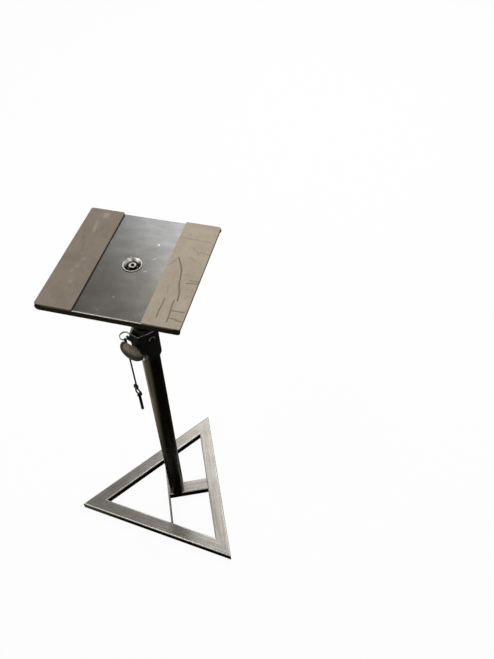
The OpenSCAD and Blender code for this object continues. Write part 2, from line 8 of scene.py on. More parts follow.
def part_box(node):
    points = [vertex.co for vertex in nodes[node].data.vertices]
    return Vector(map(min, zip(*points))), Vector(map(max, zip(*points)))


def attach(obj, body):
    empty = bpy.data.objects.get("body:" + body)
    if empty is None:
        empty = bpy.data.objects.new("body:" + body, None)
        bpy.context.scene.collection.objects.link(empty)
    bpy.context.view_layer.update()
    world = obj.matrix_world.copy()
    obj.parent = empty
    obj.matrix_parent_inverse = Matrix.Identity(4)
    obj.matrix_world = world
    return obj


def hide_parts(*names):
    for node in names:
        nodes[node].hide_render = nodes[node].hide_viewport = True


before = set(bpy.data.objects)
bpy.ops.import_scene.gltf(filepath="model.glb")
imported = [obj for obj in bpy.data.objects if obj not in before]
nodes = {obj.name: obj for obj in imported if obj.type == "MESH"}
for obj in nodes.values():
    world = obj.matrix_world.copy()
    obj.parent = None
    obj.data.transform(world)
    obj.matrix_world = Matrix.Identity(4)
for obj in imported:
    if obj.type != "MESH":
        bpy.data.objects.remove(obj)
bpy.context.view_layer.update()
bpy.ops.object.select_all(action="DESELECT")

# The camera stands beside the base and looks down on the platform at 50 degrees. Its
# place, tilt and lens are those that the corners of the platform and the base gave.
camera_place = Vector((-0.7606, -0.0569, 1.5126))
ahead = Vector((0.987, -0.162, 0)).normalized()
look_down, tilt, lens_mm = radians(49.9), radians(-0.9), 35.51
gaze = ahead * cos(look_down) - Vector((0, 0, sin(look_down)))
bpy.ops.object.camera_add(location=camera_place)
camera = bpy.context.object
camera.name = "camera"
aim = gaze.to_track_quat("-Z", "Y") @ Quaternion((0, 0, 1), tilt)
camera.rotation_euler = aim.to_euler()
camera.data.lens = lens_mm
bpy.context.scene.camera = camera
bpy.context.scene.view_settings.view_transform = "Standard"

# The lanyard is a limp braided cord, 3.2 mm thick and 0.194 m long from end to end, that
# hangs from the split ring. Its lower end turns up into a loop, which a plastic crimp
# holds shut. The route gives places sideways of and below the ring, in metres.
collar_turn = radians(135)
reach = Vector((cos(collar_turn), sin(collar_turn), 0))
side = Vector((-sin(collar_turn), cos(collar_turn), 0))
hang_reach, hang_side, hang_z = 0.034101, -0.018181, 0.630
hang = reach * hang_reach + side * hang_side + Vector((0, 0, hang_z))
cord_d, cord_len = 0.0032, 0.194
lanyard_route = [(0, -0.012), (0, -0.020), (0, -0.040), (0, -0.060), (0, -0.080),
    (0, -0.100), (0, -0.120), (0, -0.136), (0, -0.145), (0.0005, -0.1479),
    (0.002, -0.1504), (0.0046, -0.1525), (0.0072, -0.1546), (0.0087, -0.1571),
    (0.0092, -0.160), (0.0085, -0.163), (0.0067, -0.1654), (0.004, -0.1668),
    (0.001, -0.1669), (-0.0018, -0.1657), (-0.0039, -0.1635), (-0.0048, -0.1606),
    (-0.0046, -0.157), (-0.0041, -0.1525), (-0.0037, -0.148), (-0.0035, -0.144),
    (-0.0035, -0.140)]
knots = [hang + side * s + Vector((0, 0, h)) for s, h in lanyard_route]


def smooth_line(points, steps):
    """More points on a smooth line that passes through the given ones."""
    line = []
    for i in range(len(points) - 1):
        before, a = points[max(i - 1, 0)], points[i]
        b, after = points[i + 1], points[min(i + 2, len(points) - 1)]
        for k in range(steps):
            t = k / steps
            line.append(0.5 * (2 * a + (b - before) * t
                + (2 * before - 5 * a + 4 * b - after) * t * t
                + (3 * a - before - 3 * b + after) * t * t * t))
    return line + [points[-1]]


def cord_tube(name, path, radius, across, sides=16):
    """A tube along a flat path, with a UV map that runs round it and along it."""
    mesh = bpy.data.meshes.new(name)
    tube = bmesh.new()
    uv = tube.loops.layers.uv.new("UVMap")
    rings, lengths, run = [], [], 0.0
    for i, point in enumerate(path):
        run += (point - path[i - 1]).length if i else 0.0
        along = (path[min(i + 1, len(path) - 1)] - path[max(i - 1, 0)]).normalized()
        out = along.cross(across)
        rings.append([tube.verts.new(point + radius * (cos(2 * pi * k / sides) * across
            + sin(2 * pi * k / sides) * out)) for k in range(sides)])
        lengths.append(run / (2 * pi * radius))
    for i in range(len(path) - 1):
        for k in range(sides):
            n = (k + 1) % sides
            face = tube.faces.new((rings[i][k], rings[i][n], rings[i + 1][n], rings[i + 1][k]))
            corners = ((k, i), (k + 1, i), (k + 1, i + 1), (k, i + 1))
            for loop, (turn, step) in zip(face.loops, corners):
                loop[uv].uv = (turn / sides, lengths[step])
            face.smooth = True
    tube.faces.new(rings[0][::-1])
    tube.faces.new(rings[-1])
    bmesh.ops.recalc_face_normals(tube, faces=tube.faces)
    tube.to_mesh(mesh)
    tube.free()
    piece = bpy.data.objects.new(name, mesh)
    bpy.context.collection.objects.link(piece)
    return piece


def wire(tree, kind, settings=None, **inputs):
    """Adds one shader node, sets its choices, and fills or links its inputs by name."""
    node = tree.nodes.new("ShaderNode" + kind)
    for name, value in (settings or {}).items():
        setattr(node, name, value)
    for name, value in inputs.items():
        socket = node.inputs[int(name[1:]) if name[0] == "_" else name.replace("_", " ")]
        if isinstance(value, bpy.types.NodeSocket):
            tree.links.new(value, socket)
        else:
            socket.default_value = value
    return node


def work_out(tree, operation, *values, kind="Math"):
    """The result of one step of arithmetic on shader values."""
    inputs = {"_%d" % i: value for i, value in enumerate(values)}
    result = wire(tree, kind, {"operation": operation}, **inputs).outputs
    return result[1] if operation in ("LENGTH", "DOT_PRODUCT") else result[0]


def times(tree, product, *factors):
    """The product of two or more shader values."""
    for factor in factors:
        product = work_out(tree, "MULTIPLY", product, factor)
    return product


def remap(tree, value, low, high, to_low=0.0, to_high=1.0, kind="LINEAR"):
    """A shader value carried from one range to another, and held at both ends."""
    return wire(tree, "MapRange", {"interpolation_type": kind}, Value=value, From_Min=low,
        From_Max=high, To_Min=to_low, To_Max=to_high).outputs[0]


def new_finish(name):
    """An empty material with its node tree, its shader and object coordinates."""
    finish = bpy.data.materials.new(name)
    finish.use_nodes = True
    tree = finish.node_tree
    shader = tree.nodes["Principled BSDF"]
    place = tree.nodes.new("ShaderNodeTexCoord").outputs["Object"]
    return finish, tree, shader, place


def surface(tree, shader, **links):
    """Links what varies over a surface to its shader."""
    for name, value in links.items():
        tree.links.new(value, shader.inputs[name.replace("_", " ")])


def wear(piece, finish):
    """Gives a piece one finish all over."""
    piece.data.materials.clear()
    piece.data.materials.append(finish)


braid, tree, shader, place = new_finish("braided_cord")
round_and_along = tree.nodes.new("ShaderNodeUVMap").outputs["UV"]
strand_lean, strand_scale = radians(45), 1.8
one_way = wire(tree, "Mapping", Vector=round_and_along, Rotation=(0, 0, strand_lean))
other_way = wire(tree, "Mapping", Vector=round_and_along, Rotation=(0, 0, -strand_lean))
strands = wire(tree, "TexWave", Vector=one_way.outputs[0], Scale=strand_scale)
crossing = wire(tree, "TexWave", Vector=other_way.outputs[0], Scale=strand_scale)
weave = times(tree, strands.outputs["Fac"], crossing.outputs["Fac"])
fleck = remap(tree, weave, 0, 1, 0.005, 0.022)
tone = wire(tree, "CombineColor", Red=fleck, Green=fleck, Blue=fleck)
relief = wire(tree, "Bump", Height=weave, Strength=0.7, Distance=0.0006)
surface(tree, shader, Base_Color=tone.outputs[0], Normal=relief.outputs[0])
shader.inputs["Roughness"].default_value = 0.75
shader.inputs["Specular IOR Level"].default_value = 0.15

lanyard_line = smooth_line(knots, 4)
lanyard = cord_tube("lanyard", lanyard_line, cord_d / 2, reach)
wear(lanyard, braid)
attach(lanyard, "lanyard")
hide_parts("lanyard_cord")

# The cap and the crimp of the lanyard, the collar and the knob are moulded in black nylon
# with a fine grain. What faces up is lighter and brownish: settled dust and painted top light.
def noise(tree, place, scale, detail, rough=0.5):
    """Cloudy noise, with its scale in waves a metre."""
    return wire(tree, "TexNoise", Vector=place, Scale=scale, Detail=detail,
        Roughness=rough).outputs["Fac"]


def upright(tree):
    """How far the surface faces up, from -1 to 1."""
    normal = tree.nodes.new("ShaderNodeNewGeometry").outputs["Normal"]
    return wire(tree, "SeparateXYZ", Vector=normal).outputs["Z"]


def layer(tree, amount, under, over):
    """One tone laid over another by an amount. A tone is a colour or a node's output."""
    under, over = ((*tone, 1) if isinstance(tone, tuple) else tone for tone in (under, over))
    return wire(tree, "Mix", {"data_type": "RGBA"}, Factor=amount, _6=under, _7=over).outputs[2]


def moulded(name, colour, grain, sheen, dust_and_light=(0.05, 0.045, 0.04), cover=0.5, slope=0.25,
        dust_and_light_from=None):
    """Moulded plastic, dusty and with painted top light where it faces up more than slope.
    With dust_and_light_from, this starts at that place along side."""
    finish, tree, shader, place = new_finish(name)
    patches = noise(tree, place, 75.0, 5.0, 0.6)
    # Upward faces get a lighter tone: partly dust, partly painted top light.
    dust_and_top_light = times(tree, remap(tree, upright(tree), slope, 0.8),
        remap(tree, patches, 0.3, 0.7, 0.55 * cover, cover))
    if dust_and_light_from is not None:
        sideways = work_out(tree, "DOT_PRODUCT", place, side, kind="VectorMath")
        dust_and_top_light = times(tree, dust_and_top_light,
            remap(tree, sideways, dust_and_light_from - 0.002, dust_and_light_from + 0.002, 0.12))
    relief = wire(tree, "Bump", Height=noise(tree, place, grain, 3.0), Strength=0.3,
        Distance=0.0004)
    surface(tree, shader, Base_Color=layer(tree, dust_and_top_light, colour, dust_and_light),
        Roughness=remap(tree, patches, 0.3, 0.7, sheen - 0.06, sheen + 0.08),
        Normal=relief.outputs[0])
    shader.inputs["Specular IOR Level"].default_value = 0.07
    return finish


black_nylon = moulded("black_nylon", (0.009, 0.008, 0.006), 1400.0, 0.45)
for name in ("lanyard_cap", "lanyard_crimp"):
    wear(nodes[name], black_nylon)

# The base is three mitred steel tubes, a spoke and a flat crossbar, welded up and powder
# coated in black. Its upper faces carry a greyish metal sheen that is partly rubbing and a
# film of dust wiped along each bar and partly painted reflection, and its rounded edges
# carry pale lines that are partly wear and partly painted highlight.
bare_and_highlit_edge = (0.62, 0.59, 0.54)
paint_black = (0.0022, 0.0019, 0.0014)


def flat_place(tree, place, turn):
    """Object coordinates turned about the upright axis, so that x runs along a piece."""
    return wire(tree, "Mapping", Vector=place, Rotation=(0, 0, -turn)).outputs[0]


def rubbed_and_sheen_paint(name, rubbed_and_sheen, metal, turn=0.0, cover=1.0, streak=0.3, grain=(9, 420, 9),
        marks=(), marks_z=0.0, far_reflection_tone=None, gloss=0.03, rough=(0.24, 0.30), worn_and_highlit=0.0,
        steep=0.2, half_pale_edges=1.0, grit=0.0):
    """Black paint with a metal sheen where it faces up, partly from rubbing and dusting and
    partly a painted reflection. The sheen can drift to far_reflection_tone, a painted
    reflection, and carry small marks, which are a colour, a place and two half sizes in mm,
    and a turn. Edges steeper than steep get pale lines by worn_and_highlit, partly wear and
    partly painted highlight, up to half_pale_edges from the middle."""
    finish, tree, shader, place = new_finish(name)
    flat = flat_place(tree, place, turn)
    flat_parts = wire(tree, "SeparateXYZ", Vector=flat).outputs
    up = upright(tree)
    clouds = noise(tree, place, 14.0, 6.0, 0.6)
    along = wire(tree, "Mapping", Vector=flat, Scale=grain)
    wiped = noise(tree, along.outputs[0], 1.0, 5.0)
    # Upward faces get a lighter metal sheen: partly dust and rubbing, partly painted
    # reflection.
    dust_and_top_light = times(tree, remap(tree, clouds, 0.3, 0.7, 1 - streak),
        remap(tree, wiped, 0.3, 0.7, 1 - streak), remap(tree, up, 0.35, 0.9), cover)
    if grit:
        specks = noise(tree, place, 430.0, 3.0, 0.7)
        dust_and_top_light = times(tree, dust_and_top_light, remap(tree, specks, 0.3, 0.7, 1 - grit, 1 + grit))
    # Towards the far side the sheen drifts to a cooler tone: a painted reflection.
    if far_reflection_tone:
        rubbed_and_sheen = layer(tree, remap(tree, flat_parts["Y"], 0.05, -0.1), rubbed_and_sheen, far_reflection_tone)
    colour = layer(tree, dust_and_top_light, paint_black, rubbed_and_sheen)
    for mark_colour, x, y, half_w, half_l, lean in marks:
        near = wire(tree, "Mapping", {"vector_type": "TEXTURE"}, Vector=flat,
            Location=(x / 1000, y / 1000, marks_z), Rotation=(0, 0, radians(lean)),
            Scale=(half_w / 1000, half_l / 1000, 0.02))
        far = work_out(tree, "LENGTH", near.outputs[0], kind="VectorMath")
        spot = remap(tree, far, 0, 1, 1.0, 0.0, "SMOOTHSTEP")
        colour = layer(tree, spot, colour, mark_colour)
    # Pale lines along the rounded edges: partly wear, partly painted highlight.
    if worn_and_highlit:
        from_middle = work_out(tree, "ABSOLUTE", flat_parts["X"])
        edge = times(tree, remap(tree, up, steep, steep + 0.1), remap(tree, up, 0.998, 0.98),
            work_out(tree, "LESS_THAN", from_middle, half_pale_edges), worn_and_highlit)
        colour = layer(tree, edge, colour, bare_and_highlit_edge)
    relief = wire(tree, "Bump", Height=noise(tree, place, 800.0, 2.0), Strength=0.05,
        Distance=0.0003)
    surface(tree, shader, Base_Color=colour, Metallic=remap(tree, dust_and_top_light, 0, 1, 0, metal),
        Roughness=remap(tree, clouds, 0.3, 0.7, *rough), Normal=relief.outputs[0])
    shader.inputs["Specular IOR Level"].default_value = gloss
    return finish


for name, turn in (("base_bar_back", 0), ("base_bar_right", 120), ("base_bar_left", 240),
        ("base_spoke", 90), ("base_crossbar", 0)):
    wear(nodes[name], rubbed_and_sheen_paint("paint_" + name, (0.205, 0.192, 0.174), 0.95,
        radians(turn), rough=(0.20, 0.26), worn_and_highlit=0.55, grit=0.05))

# Three soft rubber feet are glued under the corners of the triangle.
# They are matte, and their rim is a little lighter where it faces up: dust and painted top
# light.
rubber = moulded("foot_rubber", (0.014, 0.014, 0.014), 700.0, 0.75, cover=0.2)
for name in ("foot_back_left", "foot_back_right", "foot_apex"):
    wear(nodes[name], rubber)

# The column is a steel tube in the same black, bolted to the spoke from below into a
# threaded plug. It is wiped clean and glossier than the base, so it stays black except
# where it mirrors the floor. Its fasteners and those of the clamp are zinc plated.
column_paint = rubbed_and_sheen_paint("column_paint", (0.1, 0.095, 0.088), 0.4, cover=0.5, gloss=0.25)
wear(nodes["column_tube"], column_paint)


def plated(name, colour, rough, scratch):
    """An unplated or plated metal with fine turning marks and a few duller spots."""
    finish, tree, shader, place = new_finish(name)
    marks = noise(tree, place, scratch, 5.0, 0.7)
    spots = noise(tree, place, 240.0, 3.0)
    dark = tuple(c * 0.62 for c in colour)
    relief = wire(tree, "Bump", Height=marks, Strength=0.1, Distance=0.0002)
    surface(tree, shader, Base_Color=layer(tree, remap(tree, marks, 0.3, 0.62), dark, colour),
        Roughness=remap(tree, spots, 0.35, 0.7, rough - 0.06, rough + 0.12),
        Normal=relief.outputs[0])
    shader.inputs["Metallic"].default_value = 1.0
    return finish


zinc = plated("zinc_plate", (0.33, 0.32, 0.30), 0.38, 1500.0)
for name in ("column_plug", "column_bolt", "column_washer", "clamp_nut", "pinch_nut",
        "clamp_stud", "stud_nut", "mast_top_plug"):
    wear(nodes[name], zinc)
# The pinch screw gets a paler, rougher copy of the zinc: painted light.
wear(nodes["pinch_screw"], plated("lit_zinc", (0.45, 0.44, 0.42), 0.45, 1500.0))

# The collar is moulded in one piece and pinched on the column by a screw through its slit.
# Its top rim and the eye round its pin hole carry pale painted highlights. A bush of grey
# nylon inside it guides the mast.
collar_nylon = moulded("collar_nylon", (0.008, 0.0075, 0.006), 1400.0, 0.45,
    (0.05, 0.045, 0.038), 0.7)
rim_z = 0.6475
# lean from the boss in degrees, distance from the axis, width of the painted highlight line,
# its tone
rim_highlight_faces = ((0, 0.030, 0.003, (0.36, 0.35, 0.32)),
    (-64.7, 0.0219, 0.0045, (0.42, 0.42, 0.41)), (64.7, 0.0219, 0.0014, (0.75, 0.7, 0.6)))
eye_turn, eye_z, eye_skin = 70, 0.632, 0.0222
eye_highlight_from_r, eye_highlight_full_r, eye_r = 0.0042, 0.0048, 0.0067


def collar_way(lean):
    """The level way out of the collar at an angle in degrees from its boss."""
    return reach * cos(radians(lean)) + side * sin(radians(lean))


tree = collar_nylon.node_tree
shader = tree.nodes["Principled BSDF"]
place = tree.nodes.new("ShaderNodeTexCoord").outputs["Object"]
height = wire(tree, "SeparateXYZ", Vector=place).outputs["Z"]
# Pale lines on the upward faces of the top rim: painted highlights.
rim_highlight = times(tree, work_out(tree, "GREATER_THAN", height, rim_z),
    remap(tree, upright(tree), 0.3, 0.9),
    remap(tree, noise(tree, place, 260.0, 3.0), 0.3, 0.6, 0.45))
colour = shader.inputs["Base Color"].links[0].from_socket
for lean, outer_face, wide, pale in rim_highlight_faces:
    out = work_out(tree, "DOT_PRODUCT", place, collar_way(lean), kind="VectorMath")
    line = times(tree, rim_highlight, work_out(tree, "GREATER_THAN", out, outer_face - wide))
    colour = layer(tree, line, colour, pale)
eye_way = collar_way(eye_turn)
# A pale crescent round the pin hole: a painted highlight.
from_hole = work_out(tree, "SUBTRACT", place, (0, 0, eye_z), kind="VectorMath")
from_hole = work_out(tree, "CROSS_PRODUCT", from_hole, eye_way, kind="VectorMath")
from_hole = work_out(tree, "LENGTH", from_hole, kind="VectorMath")
outward = work_out(tree, "DOT_PRODUCT", place, eye_way, kind="VectorMath")
eye_highlight = times(tree, work_out(tree, "GREATER_THAN", outward, eye_skin),
    remap(tree, from_hole, eye_highlight_from_r, eye_highlight_full_r),
    work_out(tree, "LESS_THAN", from_hole, eye_r),
    remap(tree, height, eye_z - 0.004, eye_z + 0.002))
colour = layer(tree, eye_highlight, colour, (0.14, 0.135, 0.115))
surface(tree, shader, Base_Color=colour)
wear(nodes["collar_housing"], collar_nylon)
grey_nylon = moulded("grey_nylon", (0.10, 0.10, 0.10), 900.0, 0.5)
for name in ("guide_bush", "glide_ring", "mast_end_cap"):
    wear(nodes[name], grey_nylon)

# The clamp: a wing knob on a screw that drives a brass shoe against the mast. The knob is
# moulded as one crowned leaf with a flat back, a hub and fine grip ribs across its long
# sides. Its upper side, short of its far end, is brownish: dust and painted top light.
knob_size, knob_back, knob_z, knob_tilt = (0.029, 0.050, 0.031), 0.0388, 0.617, radians(10)
rib_pitch, rib_deep, rib_slope = 0.003, 0.0005, 0.3
hub_r, hub_long = 0.009, 0.0023
bpy.ops.mesh.primitive_cube_add(size=1)
knob = bpy.context.object
knob.name = "crowned_knob"
rounded = knob.modifiers.new("rounded", "SUBSURF")
rounded.levels = rounded.render_levels = 6
bpy.ops.object.modifier_apply(modifier="rounded")
shrunk = knob.dimensions.copy()
knob.scale = [want / have for want, have in zip(knob_size, shrunk)]
bpy.ops.object.transform_apply()
for point in knob.data.vertices:
    wave = 1 + cos(2 * pi * point.co.y / rib_pitch)
    grip = max(0.0, abs(point.normal.z) - rib_slope) * wave
    point.co.z -= rib_deep * grip * (1 if point.co.z > 0 else -1)
bpy.ops.object.mode_set(mode="EDIT")
bpy.ops.mesh.select_all(action="SELECT")
bpy.ops.mesh.bisect(plane_co=(0, 0, 0), plane_no=(1, 0, 0), clear_inner=True, use_fill=True)
bpy.ops.mesh.select_all(action="DESELECT")
bpy.ops.mesh.primitive_cylinder_add(vertices=48, radius=hub_r, depth=hub_long,
    location=(-hub_long / 2, 0, 0), rotation=(0, pi / 2, 0))
bpy.ops.object.mode_set(mode="OBJECT")
bpy.ops.object.shade_smooth_by_angle(angle=radians(50))
knob.rotation_euler = (-knob_tilt, 0, collar_turn)
knob.location = reach * knob_back + Vector((0, 0, knob_z))
bpy.ops.object.transform_apply()
wear(knob, moulded("knob_nylon", (0.034, 0.034, 0.033), 1400.0, 0.5, (0.44, 0.355, 0.28),
    0.9, 0.35, dust_and_light_from=-0.012))
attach(knob, "knob")
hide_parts("wing_knob")
bpy.ops.object.select_all(action="DESELECT")
wear(nodes["clamp_shoe"], plated("shoe_brass", (0.72, 0.52, 0.22), 0.36, 900.0))

# The mast is a thinner tube in the column's black, drilled for the pin every 40 mm, with
# a flanged socket on top that is welded under the platform.
wear(nodes["mast_tube"], column_paint)
wear(nodes["head_socket"], column_paint)

# The platform is steel sheet with its front and back edges bent down. Its paint carries a
# grey sheen, partly wear and partly painted reflection, which is cooler towards one side as
# a painted reflection, with a few specks of dust, smudges and short scratches, and pale
# lines along the bends between the pads that are partly wear and partly painted highlight.
plate_turn, plate_top = radians(66.3), 0.7955
pale_mark, faint_mark, dark_mark = (0.4, 0.4, 0.39), (0.19, 0.19, 0.19), (0.04, 0.04, 0.04)
plate_marks = [(pale_mark, 52.0, -43.6, 1.2, 1.8, 0), (faint_mark, 3.7, 72.0, 2, 4, 30),
    (pale_mark, 18.8, 101.9, 1.3, 1.3, 0), (pale_mark, -26.2, -52.6, 2.2, 2.2, 0),
    (faint_mark, -30.0, -20.0, 1.5, 5, -50), (faint_mark, -24.0, 10.0, 1.5, 6, -55),
    (dark_mark, 33.7, 37.4, 1.5, 2.2, 0), (dark_mark, 29.0, -7.0, 1.5, 1.5, 0),
    (dark_mark, -18.0, 62.0, 3.5, 1.8, 20)]
sheet_paint = rubbed_and_sheen_paint("sheet_paint", (0.098, 0.092, 0.083), 1.0, plate_turn, 1.0, 0.16,
    (30, 60, 30), plate_marks, plate_top, (0.137, 0.138, 0.137), rough=(0.20, 0.26),
    worn_and_highlit=0.45, steep=0.86, half_pale_edges=0.0545, grit=0.035)
wear(nodes["top_plate"], sheet_paint)

# In the dish sit a bright conical washer, a flat washer, a split washer and a bolt with a
# hexagon socket that holds the platform on the mast. The cone and the bolt head are darker
# lower down as painted shade and brighter near the top as painted highlight, the two
# washers are dark as painted shade, the outer lip of the cone and the edge of the head are
# dark, and the cone's rim carries a painted highlight and its wall a painted glint.
dark_beyond_tone = (0.075, 0.073, 0.068)
glint_place, glint_half = (0.0132, 0.0040, 0.7948), (0.0030, 0.0050, 0.0040)


def dish_steel(name, steps, dark_r, rim_r=None):
    """Plated steel whose tone changes with height, as painted light and shade: steps are
    heights in mm and tones. It is dark beyond dark_r from the axis, and from rim_r to there
    it carries a painted highlight that fades on the far side, with a painted glint."""
    finish = plated(name, (0.4, 0.39, 0.36), 0.22, 600.0)
    tree = finish.node_tree
    shader = tree.nodes["Principled BSDF"]
    place = tree.nodes.new("ShaderNodeTexCoord").outputs["Object"]
    parts = wire(tree, "SeparateXYZ", Vector=place).outputs
    low, high = steps[0][0], steps[-1][0]
    # The tone by height is painted light and shade: dark low in the cone and socket, bright
    # near the top.
    tone = wire(tree, "ValToRGB", Fac=remap(tree, parts["Z"], low / 1000, high / 1000))
    ramp = tone.color_ramp
    while len(ramp.elements) < len(steps):
        ramp.elements.new(0.5)
    for element, (height, shade) in zip(ramp.elements, steps):
        element.position = (height - low) / (high - low)
        element.color = (shade, shade * 0.96, shade * 0.88, 1)
    blotch = remap(tree, noise(tree, place, 170.0, 5.0), 0.35, 0.62, 0.45, 1.2)
    uneven = wire(tree, "VectorMath", {"operation": "SCALE"}, _0=tone.outputs["Color"],
        Scale=blotch)
    from_axis = work_out(tree, "MULTIPLY", place, (1, 1, 0), kind="VectorMath")
    from_axis = work_out(tree, "LENGTH", from_axis, kind="VectorMath")
    dark_beyond = remap(tree, from_axis, dark_r, dark_r + 0.0002)
    colour = layer(tree, dark_beyond, uneven.outputs[0], dark_beyond_tone)
    # A pale ring on the rim, fading on the far side, and a spot on the wall: painted highlight
    # and glint.
    if rim_r:
        rim = work_out(tree, "SUBTRACT", remap(tree, from_axis, rim_r, rim_r + 0.0002), dark_beyond)
        painted_rim_light = times(tree, rim, work_out(tree, "GREATER_THAN", upright(tree), 0.6),
            remap(tree, parts["X"], 0.0065, 0.0105, 1.0, 0.1))
        off = wire(tree, "Mapping", {"vector_type": "TEXTURE"}, Vector=place,
            Location=glint_place, Scale=glint_half)
        off = work_out(tree, "LENGTH", off.outputs[0], kind="VectorMath")
        spot = remap(tree, off, 0.2, 1, 0.95, 0.0, "SMOOTHSTEP")
        painted_rim_light = work_out(tree, "MAXIMUM", painted_rim_light, spot)
        colour = layer(tree, painted_rim_light, colour, (0.85, 0.85, 0.83))
        surface(tree, shader, Metallic=remap(tree, painted_rim_light, 0, 1, 1.0, 0.1))
    surface(tree, shader, Base_Color=colour)
    return finish


cone_light_and_shade = [(788, 0.03), (791, 0.07), (793.5, 0.34), (795.9, 0.38), (796.3, 0.36)]
wear(nodes["cup_washer"], dish_steel("cup_steel", cone_light_and_shade, 0.0152, 0.0139))
head_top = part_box("centre_bolt")[1].z * 1000
head_light_and_shade = [(head_top - 6, 0.03), (head_top - 1.5, 0.05), (head_top - 0.5, 0.20),
    (head_top, 0.28)]
wear(nodes["centre_bolt"], dish_steel("bolt_steel", head_light_and_shade, 0.0054))
# The two washers get a dark copy of the zinc: painted shade in the dish.
shaded_zinc = plated("shaded_zinc", (0.05, 0.04, 0.03), 0.55, 900.0)
for name in ("flat_washer", "spring_washer"):
    wear(nodes[name], shaded_zinc)

# Two strips of closed-cell foam, 3 mm thick, are glued along the sides of the platform.
# The one on the right has long creases and cuts from the speakers that stood on it, darkened
# as painted shade. Each crease is a depth and a line in mm, and each scuff a strength, a
# width and two ends.
pad_w, pad_len, pad_t, pad_low = 0.060, 0.2284, 0.003, plate_top
pad_middle, pad_corner, pad_round = 0.0845, 0.0028, 0.0007
crease_w, crease_deep = 0.0009, 0.0004
creases = {
    "foam_pad_left": [
        (0.35, [(100, -45), (88, -10)])],
    "foam_pad_right": [
        (0.35, [(-57, -9), (-62, -17), (-65, -24), (-68, -29)]),
        (1.0, [(-68, -29), (-73, -20), (-78, -10), (-81, -1), (-84, 14), (-86, 27),
            (-88, 33), (-91, 41), (-93, 50), (-94, 61)]),
        (0.85, [(-74, 60), (-74, 74), (-73, 87), (-74, 99)]),
        (0.9, [(-89, 61), (-89, 72), (-90, 83), (-91, 95), (-91, 104)]),
        (0.4, [(-61, -75), (-75, -75), (-88, -75), (-96, -74), (-106, -74)]),
        (0.7, [(-96, 23), (-104, 21), (-114, 21)]),
        (0.6, [(-101, 16), (-110, 16), (-114, 17)]),
        (0.8, [(-90, 81), (-98, 81), (-106, 81), (-112, 80)]),
        (0.8, [(-92, 96), (-99, 96), (-105, 98), (-112, 99)]),
        (0.3, [(-83, -57), (-94, -46), (-99, -42)]),
        (0.3, [(-83, -31), (-88, -33), (-95, -27)]),
        (0.3, [(-99, -48), (-110, -45), (-114, -46)]),
        (0.3, [(-83, 6), (-97, 4)]), (0.3, [(-71, 36), (-74, 48)]),
        (0.35, [(-100, 34), (-111, 35)]), (0.35, [(-107, 39), (-113, 38)])],
}
scuffs = {
    "foam_pad_left": [(0.75, 5.5, (83, -101), (83, -99)), (0.5, 3.0, (89, -59), (91, -80)),
        (0.4, 3.5, (78, 7), (79, 9)), (0.35, 3.0, (82, 24), (83, 26)),
        (0.35, 2.5, (86, 35), (86, 37)), (0.4, 3.0, (78, 57), (79, 60))],
    "foam_pad_right": [(0.15, 7.0, (-70, -95), (-95, -98)),
        (0.15, 6.0, (-105, 60), (-104, 75))],
}


def nearest(points, a, b):
    """How far each point of a strip is from the line between two places in its plane."""
    a, b = np.array(a) / 1000, np.array(b) / 1000
    along = np.clip(((points[:, :2] - a) @ (b - a)) / ((b - a) @ (b - a)), 0, 1)
    return np.linalg.norm(points[:, :2] - a - along[:, None] * (b - a), axis=1)


def foam_finish(name, colour, dark, contrast):
    """Mottled foam with fine fibres and pale scuffs, with painted shade in its creases and
    along its lower edge.
    """
    finish, tree, shader, place = new_finish(name)
    flat = flat_place(tree, place, plate_turn)
    clouds = noise(tree, flat, 22.0, 9.0, 0.74)
    drawn = wire(tree, "Mapping", Vector=flat, Scale=(260, 45, 1))
    fibres = noise(tree, drawn.outputs[0], 1.0, 4.0, 0.6)
    grit = noise(tree, flat, 520.0, 2.0)
    mottle = work_out(tree, "MULTIPLY_ADD", fibres, 0.35, clouds)
    mottle = work_out(tree, "MULTIPLY_ADD", grit, 0.7, mottle)
    tone = layer(tree, remap(tree, mottle, 0.81, 1.25),
        tuple(c * (1 - contrast) for c in colour),
        tuple(min(1, c * (1 + contrast)) for c in colour))
    scuff = wire(tree, "Attribute", {"attribute_name": "scuff"}).outputs["Fac"]
    tone = layer(tree, scuff, tone, tuple(min(1, c * 1.6 + 0.02) for c in colour))
    # Creases are darkened: painted shade.
    crease_shade = wire(tree, "Attribute", {"attribute_name": "crease_shade"}).outputs["Fac"]
    tone = layer(tree, crease_shade, tone, dark)
    height = wire(tree, "SeparateXYZ", Vector=flat).outputs["Z"]
    # The lower part of the strip's sides is darkened: painted shade.
    low_edge_shade = remap(tree, height, pad_low + 0.0012, pad_low + 0.0026, 1.0, 0.0)
    tone = layer(tree, low_edge_shade, tone, tuple(c * 0.22 for c in colour))
    relief = wire(tree, "Bump", Height=noise(tree, flat, 1300.0, 2.0), Strength=0.3,
        Distance=0.0005)
    surface(tree, shader, Base_Color=tone, Normal=relief.outputs[0])
    shader.inputs["Roughness"].default_value = 0.85
    shader.inputs["Specular IOR Level"].default_value = 0.25
    return finish


